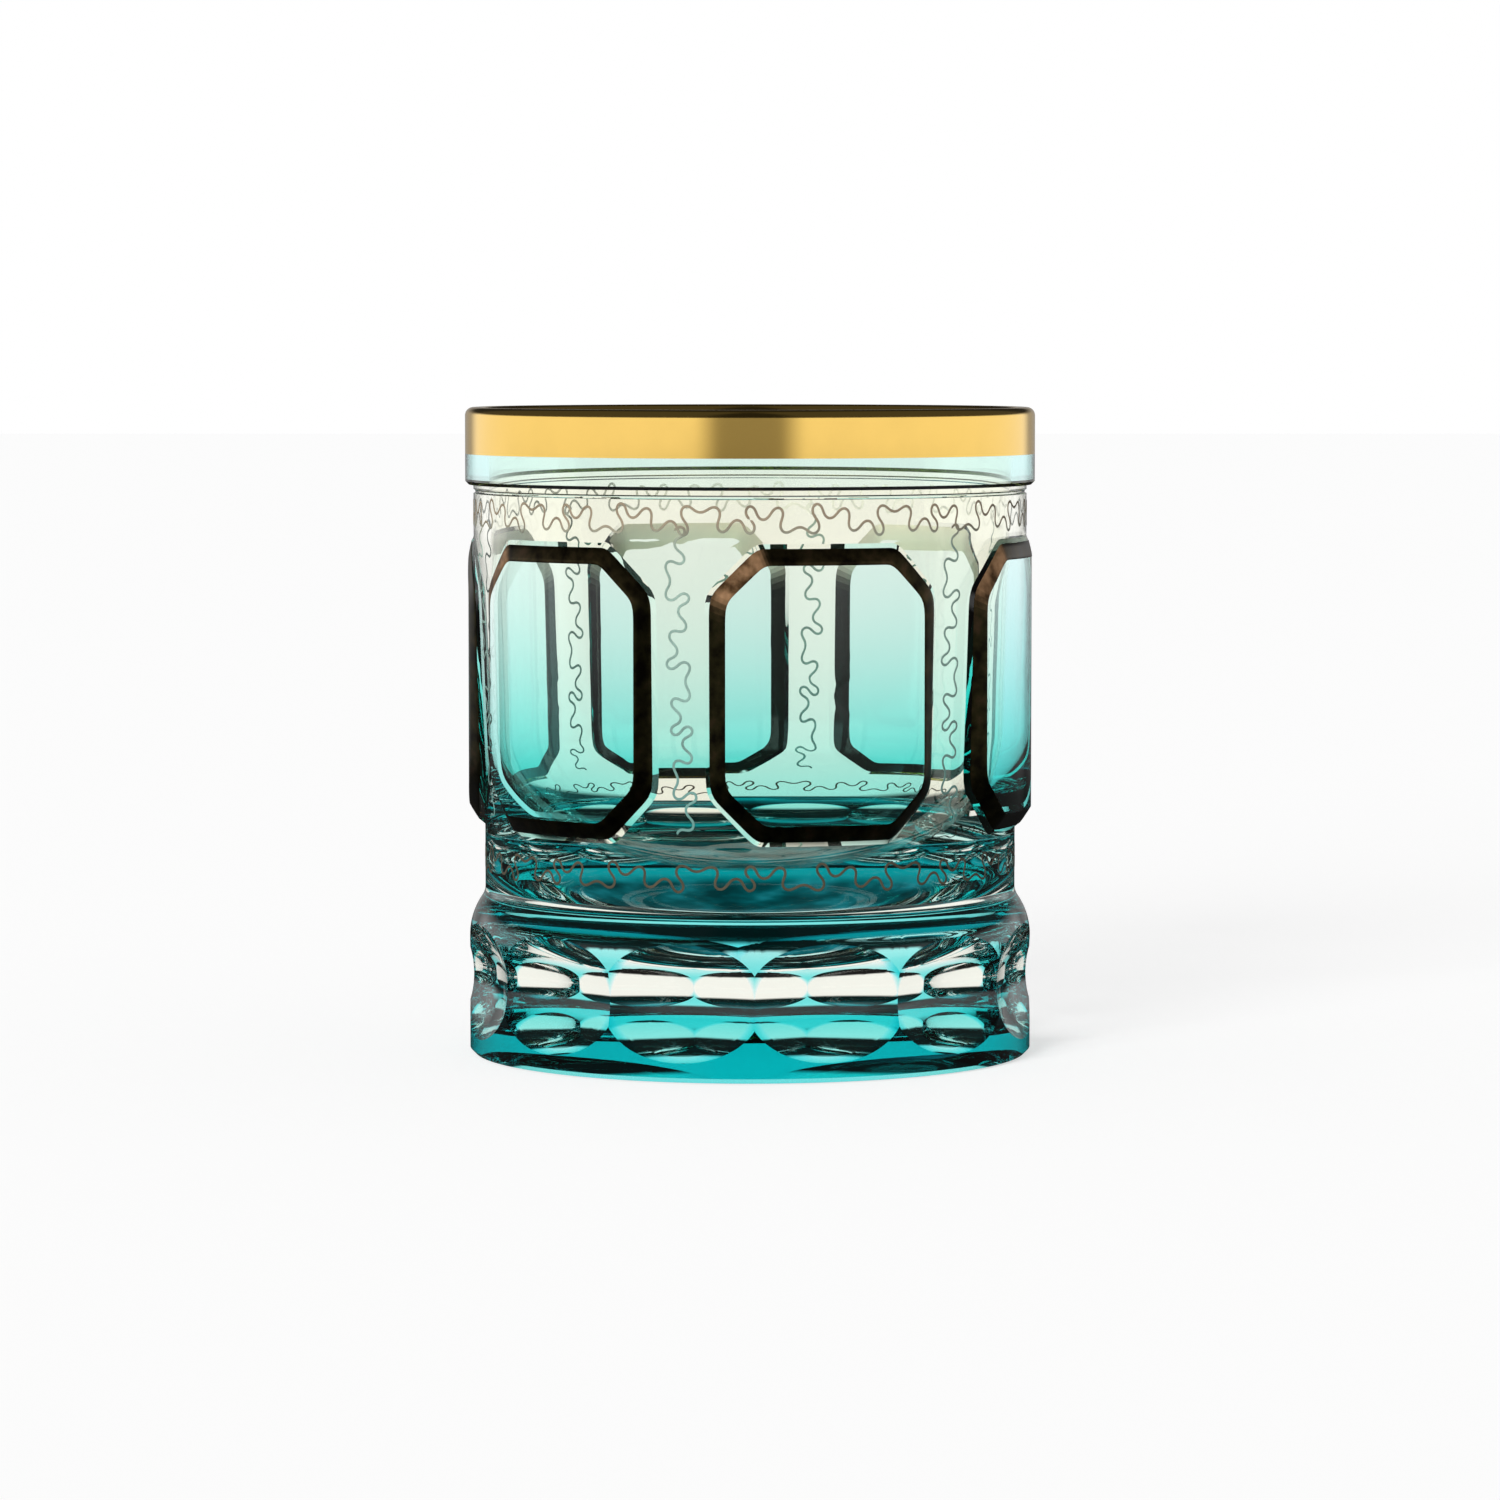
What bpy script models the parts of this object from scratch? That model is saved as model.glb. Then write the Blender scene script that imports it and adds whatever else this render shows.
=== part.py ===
"""Whiskey tumbler in cased, cut and gilded crystal.

A turned body of clear crystal carries fused turquoise casing: a ring round the lip,
six raised eight-sided panels, and a dish round and under the foot that twelve hollow
cuts open to the clear glass. Each panel has a cut facet round it and, above the facet, a
bevel. Gilding caps the lip and covers the bevels.

Metres, +Z up. The glass stands on z = 0 with its axis on the Z axis, and -Y faces the
viewer.
"""

import math

import bmesh
import bpy
from mathutils import Vector

# Body
HEIGHT = 0.0950
LIP_RADIUS = 0.0419
WALL_AT_LIP = 0.0032
LIP_ROUND = 0.0012
FLOOR_HEIGHT = 0.0180
WALL_AT_FLOOR = 0.0016
BOWL_RISE = 0.0290

# Fused layers, drawn this far apart from what they are fused to
SEAM = 0.0003
GILDING = 0.0004
RIM_CASING = 0.0012
FOOT_CASING = 0.0007

# Rim ring, its groove and the gilding over it
RIM_RING_DEPTH = 0.0113
RIM_RING_EDGE = 0.0005
GILDED_OUTSIDE = 0.0068
GILDED_INSIDE = 0.0028
GROOVE_DROP = 0.0007
GROOVE_WIDTH = 0.0006
GROOVE_DEPTH = 0.0003

# Steps in from the lip's radius, where the casing is ground back to the clear glass
PANEL_STEP = 0.0004
FOOT_STEP = 0.0005
BAND_STEP = 0.0012
WAIST_STEP = 0.0028

# Foot
WAIST_BOTTOM = 0.0246
COVE_RADIUS = 0.0024
COVE_SWEEP = math.radians(60.0)
CASING_MARGIN = 0.0008
FOOT_EDGE = 0.0007

# Hollow cuts round the foot: the casing left on the ridges between them, and above and below
HOLLOW_COUNT = 12
RIDGE_CASING = 0.0002
HOLLOW_MARGIN = 0.0014

# Raised panels, with the bands of ground above, below and between them
PANEL_COUNT = 6
PANEL_TURN = math.radians(15.9)
UPPER_BAND = 0.0075
LOWER_BAND = 0.0088
MULLION = 0.0070
PANEL_CORNER = 0.0071
FACET_WIDTH = 0.0007
FACET_SHARE = 0.35
BEVEL_WIDTH = 0.0021
GILDING_ON_BEVEL = 0.0004
BEVEL_SEAM = 0.0004
SHELF_SHARE = 0.12

# Facets
TURN_STEPS = 72
LIP_STEPS = 3
COVE_STEPS = 5
BOWL_STEPS = 8
HOLLOW_STEPS = 84
PANEL_STRIPS = 10
SHARP_TURNED = math.radians(32.0)
SHARP_PANEL = math.radians(12.0)

# Radii that follow from the sizes above
INSIDE_LIP_RADIUS = LIP_RADIUS - WALL_AT_LIP
RIM_CASING_RADIUS = LIP_RADIUS - RIM_CASING
UNDER_GILDING = LIP_RADIUS - GILDING - SEAM
BAND_RADIUS = LIP_RADIUS - BAND_STEP
WAIST_RADIUS = LIP_RADIUS - WAIST_STEP
PANEL_RADIUS = LIP_RADIUS - PANEL_STEP
FOOT_RADIUS = LIP_RADIUS - FOOT_STEP
FLOOR_RADIUS = WAIST_RADIUS - WALL_AT_FLOOR
CORE_FOOT_RADIUS = FOOT_RADIUS - FOOT_CASING - SEAM
SHOULDER_RADIUS = (FOOT_RADIUS - WAIST_RADIUS) / (1.0 - math.cos(COVE_SWEEP)) - COVE_RADIUS
BEND_RADIUS = (WAIST_RADIUS + PANEL_RADIUS) / 2

# Heights that follow
LIP_CENTRE = HEIGHT - LIP_ROUND
GILDED_BOTTOM = HEIGHT - GILDED_OUTSIDE
GILDED_INNER_BOTTOM = HEIGHT - GILDED_INSIDE
RIM_RING_BOTTOM = HEIGHT - RIM_RING_DEPTH
PANEL_TOP = RIM_RING_BOTTOM - UPPER_BAND
PANEL_BOTTOM = WAIST_BOTTOM + LOWER_BAND
SHOULDER_BOTTOM = WAIST_BOTTOM - (COVE_RADIUS + SHOULDER_RADIUS) * math.sin(COVE_SWEEP)
CASING_TOP = SHOULDER_BOTTOM - CASING_MARGIN
CORE_BOTTOM = FOOT_CASING + SEAM

# Widths and depths that follow; a panel's width is measured along the curve at BEND_RADIUS
PANEL_WIDTH = 2 * math.pi * BEND_RADIUS / PANEL_COUNT - MULLION
RIDGE_RADIUS = FOOT_RADIUS - FOOT_CASING + RIDGE_CASING
HOLLOW_RADIUS = RIDGE_RADIUS * math.cos(math.pi / HOLLOW_COUNT)
HOLLOW_DEPTH = FOOT_RADIUS - HOLLOW_RADIUS
HOLLOW_WIDTH = 2 * math.sqrt(FOOT_RADIUS ** 2 - HOLLOW_RADIUS ** 2) + 4 * HOLLOW_MARGIN
HOLLOW_HEIGHT = CASING_TOP - 2 * HOLLOW_MARGIN
HOLLOW_CENTRE = CASING_TOP / 2
HOLLOW_SWEEP = ((HOLLOW_HEIGHT / 2) ** 2 + HOLLOW_DEPTH ** 2) / (2 * HOLLOW_DEPTH)


def arc(centre_r, centre_z, radius, start, end, steps):
    """Points (r, z) on an arc, angles in degrees from +r towards +z."""
    points = []
    for i in range(steps + 1):
        a = math.radians(start + (end - start) * i / steps)
        points.append((centre_r + radius * math.cos(a), centre_z + radius * math.sin(a)))
    return points


def ground_radius(z):
    """Radius of the clear ground behind the panels at height z."""
    t = (z - PANEL_BOTTOM) / (PANEL_TOP - PANEL_BOTTOM)
    return WAIST_RADIUS + (BAND_RADIUS - WAIST_RADIUS) * t


def new_collection(name):
    collection = bpy.data.collections.new(name)
    bpy.context.scene.collection.children.link(collection)
    return collection


def material(name, colour, roughness, metallic=0.0, transmission=0.0):
    mat = bpy.data.materials.new(name)
    mat.use_nodes = True
    shader = mat.node_tree.nodes["Principled BSDF"]
    shader.inputs["Base Color"].default_value = (*colour, 1.0)
    shader.inputs["Roughness"].default_value = roughness
    shader.inputs["Metallic"].default_value = metallic
    shader.inputs["Transmission Weight"].default_value = transmission
    shader.inputs["IOR"].default_value = 1.54
    mat.diffuse_color = (*colour, 1.0)
    return mat


def object_from(bm, name, collection, mat=None):
    """Finish a bmesh as an object with outward faces."""
    bmesh.ops.recalc_face_normals(bm, faces=bm.faces)
    mesh = bpy.data.meshes.new(name)
    bm.to_mesh(mesh)
    bm.free()
    obj = bpy.data.objects.new(name, mesh)
    collection.objects.link(obj)
    if mat is not None:
        mesh.materials.append(mat)
    return obj


def smooth(obj, sharp):
    obj.data.shade_smooth()
    obj.data.set_sharp_from_angle(angle=sharp)


def apply_modifier(obj, modifier):
    bpy.context.view_layer.objects.active = obj
    bpy.ops.object.modifier_apply(modifier=modifier.name)


def turned(name, profile, collection, mat, closed):
    """Turn a profile of (r, z) points, outer side running down, about the Z axis."""
    bm = bmesh.new()
    verts = [bm.verts.new((r, 0.0, z)) for r, z in profile]
    for first, second in zip(verts, verts[1:]):
        bm.edges.new((first, second))
    if closed:
        bm.edges.new((verts[-1], verts[0]))
    mesh = bpy.data.meshes.new(name)
    bm.to_mesh(mesh)
    bm.free()
    obj = bpy.data.objects.new(name, mesh)
    collection.objects.link(obj)
    mesh.materials.append(mat)
    screw = obj.modifiers.new("Turn", "SCREW")
    screw.axis = "Z"
    screw.angle = 2 * math.pi
    screw.steps = TURN_STEPS
    screw.render_steps = TURN_STEPS
    screw.use_merge_vertices = True
    screw.merge_threshold = 0.00001
    apply_modifier(obj, screw)
    smooth(obj, SHARP_TURNED)
    return obj


def cut(obj, cutter):
    boolean = obj.modifiers.new("Hollow cuts", "BOOLEAN")
    boolean.operation = "DIFFERENCE"
    boolean.solver = "EXACT"
    boolean.object = cutter


def core_profile():
    """Clear body from the middle of its floor, up the inside, over and down the outside."""
    lip_in = INSIDE_LIP_RADIUS + LIP_ROUND
    under = LIP_ROUND - GILDING - SEAM
    groove_top = RIM_RING_BOTTOM - GROOVE_DROP
    groove_low = groove_top - GROOVE_WIDTH
    sweep = math.degrees(COVE_SWEEP)
    points = [
        (FLOOR_RADIUS * radius, FLOOR_HEIGHT + BOWL_RISE * (1.0 + height))
        for radius, height in arc(0.0, 0.0, 1.0, -90, 0, BOWL_STEPS)
    ]
    points += [
        (INSIDE_LIP_RADIUS, GILDED_INNER_BOTTOM - SEAM),
        (INSIDE_LIP_RADIUS + GILDING + SEAM, GILDED_INNER_BOTTOM - SEAM),
    ]
    points += arc(lip_in, LIP_CENTRE, under, 180, 90, LIP_STEPS)
    points += [
        (RIM_CASING_RADIUS - SEAM, LIP_CENTRE + under),
        (RIM_CASING_RADIUS - SEAM, RIM_RING_BOTTOM - SEAM),
        (BAND_RADIUS, RIM_RING_BOTTOM - SEAM),
        (BAND_RADIUS, groove_top),
        (BAND_RADIUS - GROOVE_DEPTH, (groove_top + groove_low) / 2),
        (BAND_RADIUS, groove_low),
        (BAND_RADIUS, PANEL_TOP),
        (WAIST_RADIUS, PANEL_BOTTOM),
    ]
    points += arc(WAIST_RADIUS + COVE_RADIUS, WAIST_BOTTOM, COVE_RADIUS, 180, 180 + sweep, COVE_STEPS)
    points += arc(FOOT_RADIUS - SHOULDER_RADIUS, SHOULDER_BOTTOM, SHOULDER_RADIUS, sweep, 0,
                  COVE_STEPS)[1:]
    points += [
        (FOOT_RADIUS, CASING_TOP + SEAM),
        (CORE_FOOT_RADIUS, CASING_TOP + SEAM),
        (CORE_FOOT_RADIUS, CORE_BOTTOM + FOOT_EDGE),
        (CORE_FOOT_RADIUS - FOOT_EDGE, CORE_BOTTOM),
        (0.0, CORE_BOTTOM),
    ]
    return points


def rim_ring_profile():
    """Casing ring: thin where the gilding lies over it, full thickness below."""
    under = LIP_ROUND - GILDING - SEAM
    outer_arc = LIP_RADIUS - LIP_ROUND
    points = [(RIM_CASING_RADIUS, LIP_CENTRE + under)]
    points += arc(outer_arc, LIP_CENTRE, under, 90, 0, LIP_STEPS)[1:]
    points += [
        (UNDER_GILDING, GILDED_BOTTOM - SEAM),
        (LIP_RADIUS, GILDED_BOTTOM - SEAM),
        (LIP_RADIUS, RIM_RING_BOTTOM + RIM_RING_EDGE),
        (LIP_RADIUS - RIM_RING_EDGE, RIM_RING_BOTTOM),
        (RIM_CASING_RADIUS, RIM_RING_BOTTOM),
    ]
    return points


def rim_gilding_profile():
    """Gold cap: up the inside of the lip, over it and down the outside, then back under."""
    lip_in = INSIDE_LIP_RADIUS + LIP_ROUND
    lip_out = LIP_RADIUS - LIP_ROUND
    points = [(INSIDE_LIP_RADIUS, GILDED_INNER_BOTTOM)]
    points += arc(lip_in, LIP_CENTRE, LIP_ROUND, 180, 90, LIP_STEPS)
    points += arc(lip_out, LIP_CENTRE, LIP_ROUND, 90, 0, LIP_STEPS)
    points += [(LIP_RADIUS, GILDED_BOTTOM), (LIP_RADIUS - GILDING, GILDED_BOTTOM)]
    points += arc(lip_out, LIP_CENTRE, LIP_ROUND - GILDING, 0, 90, LIP_STEPS)
    points += arc(lip_in, LIP_CENTRE, LIP_ROUND - GILDING, 90, 180, LIP_STEPS)
    points += [(INSIDE_LIP_RADIUS + GILDING, GILDED_INNER_BOTTOM)]
    return points


def foot_casing_profile():
    """Dish of casing round and under the foot, from the middle of its inside face."""
    inside = FOOT_RADIUS - FOOT_CASING
    return [
        (0.0, FOOT_CASING),
        (inside - FOOT_EDGE, FOOT_CASING),
        (inside, FOOT_CASING + FOOT_EDGE),
        (inside, CASING_TOP),
        (FOOT_RADIUS, CASING_TOP),
        (FOOT_RADIUS, FOOT_EDGE),
        (FOOT_RADIUS - FOOT_EDGE, 0.0),
        (0.0, 0.0),
    ]


def hollow_cutter(name, collection, first):
    """Every second barrel round the foot; the side of each one sweeps out one hollow."""
    bm = bmesh.new()
    reach = HOLLOW_RADIUS + HOLLOW_SWEEP
    for i in range(first, HOLLOW_COUNT, 2):
        made = bmesh.ops.create_cone(
            bm, cap_ends=True, segments=HOLLOW_STEPS, radius1=HOLLOW_SWEEP, radius2=HOLLOW_SWEEP,
            depth=HOLLOW_WIDTH)
        turn = PANEL_TURN + 2 * math.pi * i / HOLLOW_COUNT
        along = Vector((math.cos(turn), math.sin(turn), 0.0))
        centre = Vector((math.sin(turn), -math.cos(turn), 0.0)) * reach
        centre.z = HOLLOW_CENTRE
        spin = along.to_track_quat("Z", "Y").to_matrix()
        bmesh.ops.rotate(bm, verts=made["verts"], cent=(0.0, 0.0, 0.0), matrix=spin)
        bmesh.ops.translate(bm, verts=made["verts"], vec=centre)
    obj = object_from(bm, name, collection)
    obj.hide_render = True
    obj.display_type = "WIRE"
    return obj


def eight_sided(inset):
    """Outline (x, z) of a panel, every side moved in by inset, about the panel's middle."""
    half_w = PANEL_WIDTH / 2 - inset
    half_h = (PANEL_TOP - PANEL_BOTTOM) / 2 - inset
    corner = PANEL_CORNER - inset * (2.0 - math.sqrt(2.0))
    middle = (PANEL_TOP + PANEL_BOTTOM) / 2
    quarter = [(half_w, half_h - corner), (half_w - corner, half_h)]
    outline = quarter + [(-x, z) for x, z in reversed(quarter)]
    outline += [(-x, -z) for x, z in quarter] + [(x, -z) for x, z in reversed(quarter)]
    return [(x, middle + z) for x, z in outline]


def seat_verts(verts, inset, share):
    """Move eight verts onto an outline, at a share of the panel's rise over the ground."""
    for vert, (x, z) in zip(verts, eight_sided(inset)):
        seat = ground_radius(z) + SEAM
        radius = seat + share * (PANEL_RADIUS - seat)
        vert.co = (x, BEND_RADIUS - radius, z)


def bend_to_body(bm, name, collection, mat, turn):
    """Cut a flat piece into strips and bend it round the body's axis at its own turn."""
    width = max(abs(v.co.x) for v in bm.verts) * 2
    for i in range(1, PANEL_STRIPS):
        at = Vector((width * (i / PANEL_STRIPS - 0.5), 0.0, 0.0))
        everything = bm.verts[:] + bm.edges[:] + bm.faces[:]
        bmesh.ops.bisect_plane(bm, geom=everything, dist=1e-7, plane_co=at, plane_no=(1.0, 0.0, 0.0))
    obj = object_from(bm, name, collection, mat)
    bend = obj.modifiers.new("Bend", "SIMPLE_DEFORM")
    bend.deform_method = "BEND"
    bend.deform_axis = "Z"
    bend.angle = width / BEND_RADIUS
    apply_modifier(obj, bend)
    smooth(obj, SHARP_PANEL)
    obj.location = (BEND_RADIUS * math.sin(turn), -BEND_RADIUS * math.cos(turn), 0.0)
    obj.rotation_euler = (0.0, 0.0, turn)
    return obj


def next_outline(bm, verts, inset, share):
    """Extrude the outline through verts and seat the new one; returns its verts in order."""
    edges = [bm.edges.get(pair) for pair in zip(verts, verts[1:] + verts[:1])]
    made = bmesh.ops.extrude_edge_only(bm, edges=edges)["geom"]
    fresh = {item for item in made if isinstance(item, bmesh.types.BMVert)}
    copies = []
    for vert in verts:
        neighbours = [edge.other_vert(vert) for edge in vert.link_edges]
        copies += [other for other in neighbours if other in fresh]
    seat_verts(copies, inset, share)
    return copies


def panel(name, collection, mat, turn):
    """Panel of casing: a facet all round, a shelf for the gilding, and a bevel up to the face."""
    shelf = FACET_WIDTH + GILDING_ON_BEVEL + BEVEL_SEAM
    bm = bmesh.new()
    loop = bmesh.ops.create_circle(bm, cap_ends=True, segments=8, radius=PANEL_WIDTH / 2)["verts"]
    seat_verts(loop, 0.0, 0.0)
    loop = next_outline(bm, loop, FACET_WIDTH, FACET_SHARE)
    loop = next_outline(bm, loop, shelf, FACET_SHARE)
    loop = next_outline(bm, loop, shelf + BEVEL_WIDTH, 1.0)
    bmesh.ops.contextual_create(bm, geom=loop)
    return bend_to_body(bm, name, collection, mat, turn)


def panel_gilding(name, collection, mat, turn):
    """Gilded bevel: a frame swept up the bevel, across its edge, down again and closed."""
    low = FACET_SHARE + SHELF_SHARE
    bm = bmesh.new()
    loop = bmesh.ops.create_circle(bm, cap_ends=False, segments=8, radius=PANEL_WIDTH / 2)["verts"]
    seat_verts(loop, FACET_WIDTH, low)
    loop = next_outline(bm, loop, FACET_WIDTH + BEVEL_WIDTH, 1.0)
    loop = next_outline(bm, loop, FACET_WIDTH + BEVEL_WIDTH + GILDING_ON_BEVEL, 1.0)
    loop = next_outline(bm, loop, FACET_WIDTH + GILDING_ON_BEVEL, low)
    next_outline(bm, loop, FACET_WIDTH, low)
    bmesh.ops.remove_doubles(bm, verts=bm.verts, dist=1e-6)
    return bend_to_body(bm, name, collection, mat, turn)


def build():
    for obj in list(bpy.data.objects):
        bpy.data.objects.remove(obj, do_unlink=True)
    parts = new_collection("crystal_whiskey_glass")
    cutters = new_collection("cutters")
    clear = material("clear_crystal", (0.93, 0.97, 0.95), 0.03, transmission=0.85)
    casing = material("turquoise_casing", (0.02, 0.56, 0.50), 0.04, transmission=0.55)
    gold = material("polished_gold", (0.95, 0.62, 0.18), 0.15, metallic=1.0)
    bronze = material("fired_gilding", (0.22, 0.14, 0.06), 0.32, metallic=1.0)

    core = turned("crystal_core", core_profile(), parts, clear, False)
    foot = turned("foot_casing", foot_casing_profile(), parts, casing, False)
    for first in range(2):
        hollows = hollow_cutter(f"hollow_cutter_{first + 1}", cutters, first)
        cut(core, hollows)
        cut(foot, hollows)
    turned("rim_ring", rim_ring_profile(), parts, casing, True)
    turned("rim_gilding", rim_gilding_profile(), parts, gold, True)
    for i in range(PANEL_COUNT):
        turn = PANEL_TURN + 2 * math.pi * i / PANEL_COUNT
        panel(f"panel_{i + 1}", parts, casing, turn)
        panel_gilding(f"panel_gilding_{i + 1}", parts, bronze, turn)


build()
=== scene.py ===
"""Looks of a cased, cut and gilded crystal tumbler.

Clear crystal and turquoise casing are closed solids that lie a hair apart. Where two of
them are fused the faces let light through untouched; every other face is polished glass.
The casing colours light by its thickness, so its colour deepens where it is thicker.

Shapes are worked out in millimetres, +Z up, and scaled to metres as they become meshes.
A turn is measured from the front, -Y, towards +X.
"""

import math

import bmesh
import bpy
import numpy as np
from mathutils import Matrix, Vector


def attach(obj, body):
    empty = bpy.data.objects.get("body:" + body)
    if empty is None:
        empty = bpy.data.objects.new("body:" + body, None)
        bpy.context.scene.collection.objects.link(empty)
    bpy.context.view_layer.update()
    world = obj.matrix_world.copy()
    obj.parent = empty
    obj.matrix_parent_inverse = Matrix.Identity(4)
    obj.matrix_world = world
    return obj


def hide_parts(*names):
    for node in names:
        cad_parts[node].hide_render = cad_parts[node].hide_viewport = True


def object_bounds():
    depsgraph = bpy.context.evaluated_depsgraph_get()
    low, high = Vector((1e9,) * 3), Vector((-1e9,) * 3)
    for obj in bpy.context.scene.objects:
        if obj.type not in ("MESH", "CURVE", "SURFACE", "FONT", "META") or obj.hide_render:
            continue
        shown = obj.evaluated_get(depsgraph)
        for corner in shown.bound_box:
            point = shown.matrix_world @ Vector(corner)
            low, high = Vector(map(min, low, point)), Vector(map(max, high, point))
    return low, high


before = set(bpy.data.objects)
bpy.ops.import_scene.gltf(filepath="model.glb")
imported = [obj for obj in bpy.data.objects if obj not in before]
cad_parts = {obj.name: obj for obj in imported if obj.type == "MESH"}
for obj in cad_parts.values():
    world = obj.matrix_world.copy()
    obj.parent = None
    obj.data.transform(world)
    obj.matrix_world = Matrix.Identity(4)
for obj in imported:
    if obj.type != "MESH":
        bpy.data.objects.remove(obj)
cad_bounds = [list(corner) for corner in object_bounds()]

MILLIMETRE = 0.001
WELD = 1e-6
CREASE = 8.0
GILT_CREASE = 30.0
SEAM = 0.015

# Body, in millimetres, with its height and its widest radius from the frame
HEIGHT = round(cad_bounds[1][2] / MILLIMETRE, 3)
LIP_RADIUS = round(cad_bounds[1][0] / MILLIMETRE, 3)
INSIDE_LIP = LIP_RADIUS - 3.2
BAND_RADIUS = LIP_RADIUS - 1.2
WAIST_RADIUS = LIP_RADIUS - 2.8
WAIST_BOTTOM = 24.6
COVE_RADIUS = 2.9
SHOULDER_RADIUS = 10.0
FLOOR_HEIGHT = 18.0
FLOOR_RADIUS = WAIST_RADIUS - 1.6
BOWL_HEIGHT = 50.0
BOWL_SQUARENESS = 2.5

# Rim: two rounds under a skin of gold, the ring of casing and the groove below it
LIP_ROUND = 1.2
LIP_IN = INSIDE_LIP + LIP_ROUND
LIP_OUT = LIP_RADIUS - LIP_ROUND
LIP_MIDDLE = HEIGHT - LIP_ROUND
GOLD_BOTTOM = HEIGHT - 6.8
GOLD_INSIDE = HEIGHT - 2.8
GOLD_SKIN = 0.1
UNDER_GOLD = LIP_ROUND - GOLD_SKIN
RING_BOTTOM = HEIGHT - 11.3
RING_EDGE = 0.5
GROOVE_TOP = RING_BOTTOM - 0.7
GROOVE_WIDTH = 0.6
GROOVE_DEPTH = 0.3
GROOVE_OUT = 0.02

# Foot
FOOT_RADIUS = LIP_RADIUS - 0.5
FOOT_SKIN = 0.6
FOOT_TOP = 22.0
SKIN_TOP = 16.0
SKIN_LEAST = 0.03
FOOT_EDGE = 0.7
SOLE_SKIN = 0.05
SOLE_MIDDLE = 20.0
HOLLOWS = 12
HOLLOW_DEPTH = 2.9
HOLLOW_DISH = 0.95
HOLLOW_HALF = 8.6
HOLLOW_MIDDLE = 11.4
HOLLOW_REACH = 11.0
HOLLOW_BEND = 0.86
WALL_SHARES = np.array([0.0, 0.04, 0.25, 0.5, 0.75, 1.0])
SEARCH_POINTS = 2000
WINDOW_POINTS = 400
HALVINGS = 40

# Panels
PANELS = 6
FIRST_TURN = math.radians(15.9)
PANEL_RADIUS = LIP_RADIUS - 0.4
BEND_RADIUS = (WAIST_RADIUS + PANEL_RADIUS) / 2
PANEL_HALF_WIDTH = 17.6
PANEL_TOP = RING_BOTTOM - 7.5
PANEL_BOTTOM = WAIST_BOTTOM + 8.8
PANEL_CORNER = 7.1
PANEL_MIDDLE = (PANEL_TOP + PANEL_BOTTOM) / 2
PANEL_HALF_HEIGHT = (PANEL_TOP - PANEL_BOTTOM) / 2
FIELD_HALF = PANEL_HALF_HEIGHT + 1.0
FACET = 0.7
FACET_SHARE = 0.35
BEVEL = 2.3
CASING_HIGH = 0.012
CASING_LOW = 0.47
CASING_FADE = 12.0
GILDING_LAP = 0.03
GILDING_SEAM = 0.01
CUSHION_SHARES = np.array([0.0, 0.04, 0.25, 0.5, 0.75, 0.96, 1.0])
CUSHION_LIFT = np.array([0.01, 0.06, 0.09, 0.10, 0.09, 0.06, 0.01])
# Painted copper highlight on the gilt frames: strongest at the upper left corners, faint along the tops
CORNER_HIGHLIGHT = 2.0
TOP_HIGHLIGHT = 0.08
BEHIND = 2.0

# Meander lines: their section, and the middle, swing and waves of each run
LINE_HALF = 0.19
LINE_FLAT = 0.13
LINE_LIFT = 0.04
LINE_SUNK = 0.01
LINE_TAPER = 4.0
BAND_POINTS = 7200
BAND_MIDDLE = 79.6
BAND_SWING = 4.4
BAND_WAVES = 27
WAIST_MIDDLE = 28.9
WAIST_SWING = 4.0
WAIST_WAVES = 24
BAR_POINTS = 1300
BAR_TOP = 78.0
BAR_LENGTH = 43.0
BAR_SWING = 4.2
BAR_WAVES = 4.6

# Columns: one a degree, so a panel's last two steps add up to 30 and a hollow's last is 15
TURNS = FIRST_TURN + np.radians(np.arange(360.0))
PANEL_STEPS = (14, 6, 6, 24)
HOLLOW_STEPS = (6, 12, 15)
CORNER_PASSES = 3


# Shapes


def placed(turn, radius, height):
    """Points from a turn, a radius and a height: x = r sin, y = -r cos."""
    turn, radius, height = np.broadcast_arrays(turn, radius, height)
    return np.stack([radius * np.sin(turn), -radius * np.cos(turn), height], axis=-1)


def turned(profile):
    """Profile of (radius, height) rows carried once round the axis, one column a degree."""
    profile = np.asarray(profile, dtype=float)
    return placed(TURNS[None, :], profile[:, :1], profile[:, 1:])


def arc(radius, height, size, start, end, steps):
    """Arc of a circle about (radius, height), from start to end degrees, as profile rows."""
    angle = np.radians(np.linspace(start, end, steps + 1))
    return np.stack([radius + size * np.cos(angle), height + size * np.sin(angle)], axis=-1)


def run(start, end, steps):
    """Straight run of rows between two points."""
    return np.linspace(start, end, steps + 1)


def even(steps):
    """Even shares from 0 to 1."""
    return np.linspace(0.0, 1.0, steps + 1)


def between(first, last, shares):
    """Rows of a grid from one loop to another, each row a share of the way across."""
    return first[None] + shares[:, None, None] * (last - first)[None]


def round_trip(quarter):
    """Quarter loop from right to top, mirrored left and down into a closed loop."""
    flip = quarter[-2::-1] * (-1, 1)
    back = quarter[-2:0:-1] * (1, -1)
    return np.concatenate([quarter, flip, quarter[1:] * (-1, -1), back])


def grid_quads(rows, columns, start):
    """Corner numbers of a grid's quads, with the last column joined to the first."""
    index = start + np.arange(rows * columns).reshape(rows, columns)
    beside = np.roll(index, -1, axis=1)
    return np.stack([index[:-1], beside[:-1], beside[1:], index[1:]], axis=-1).reshape(-1, 4)


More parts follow.
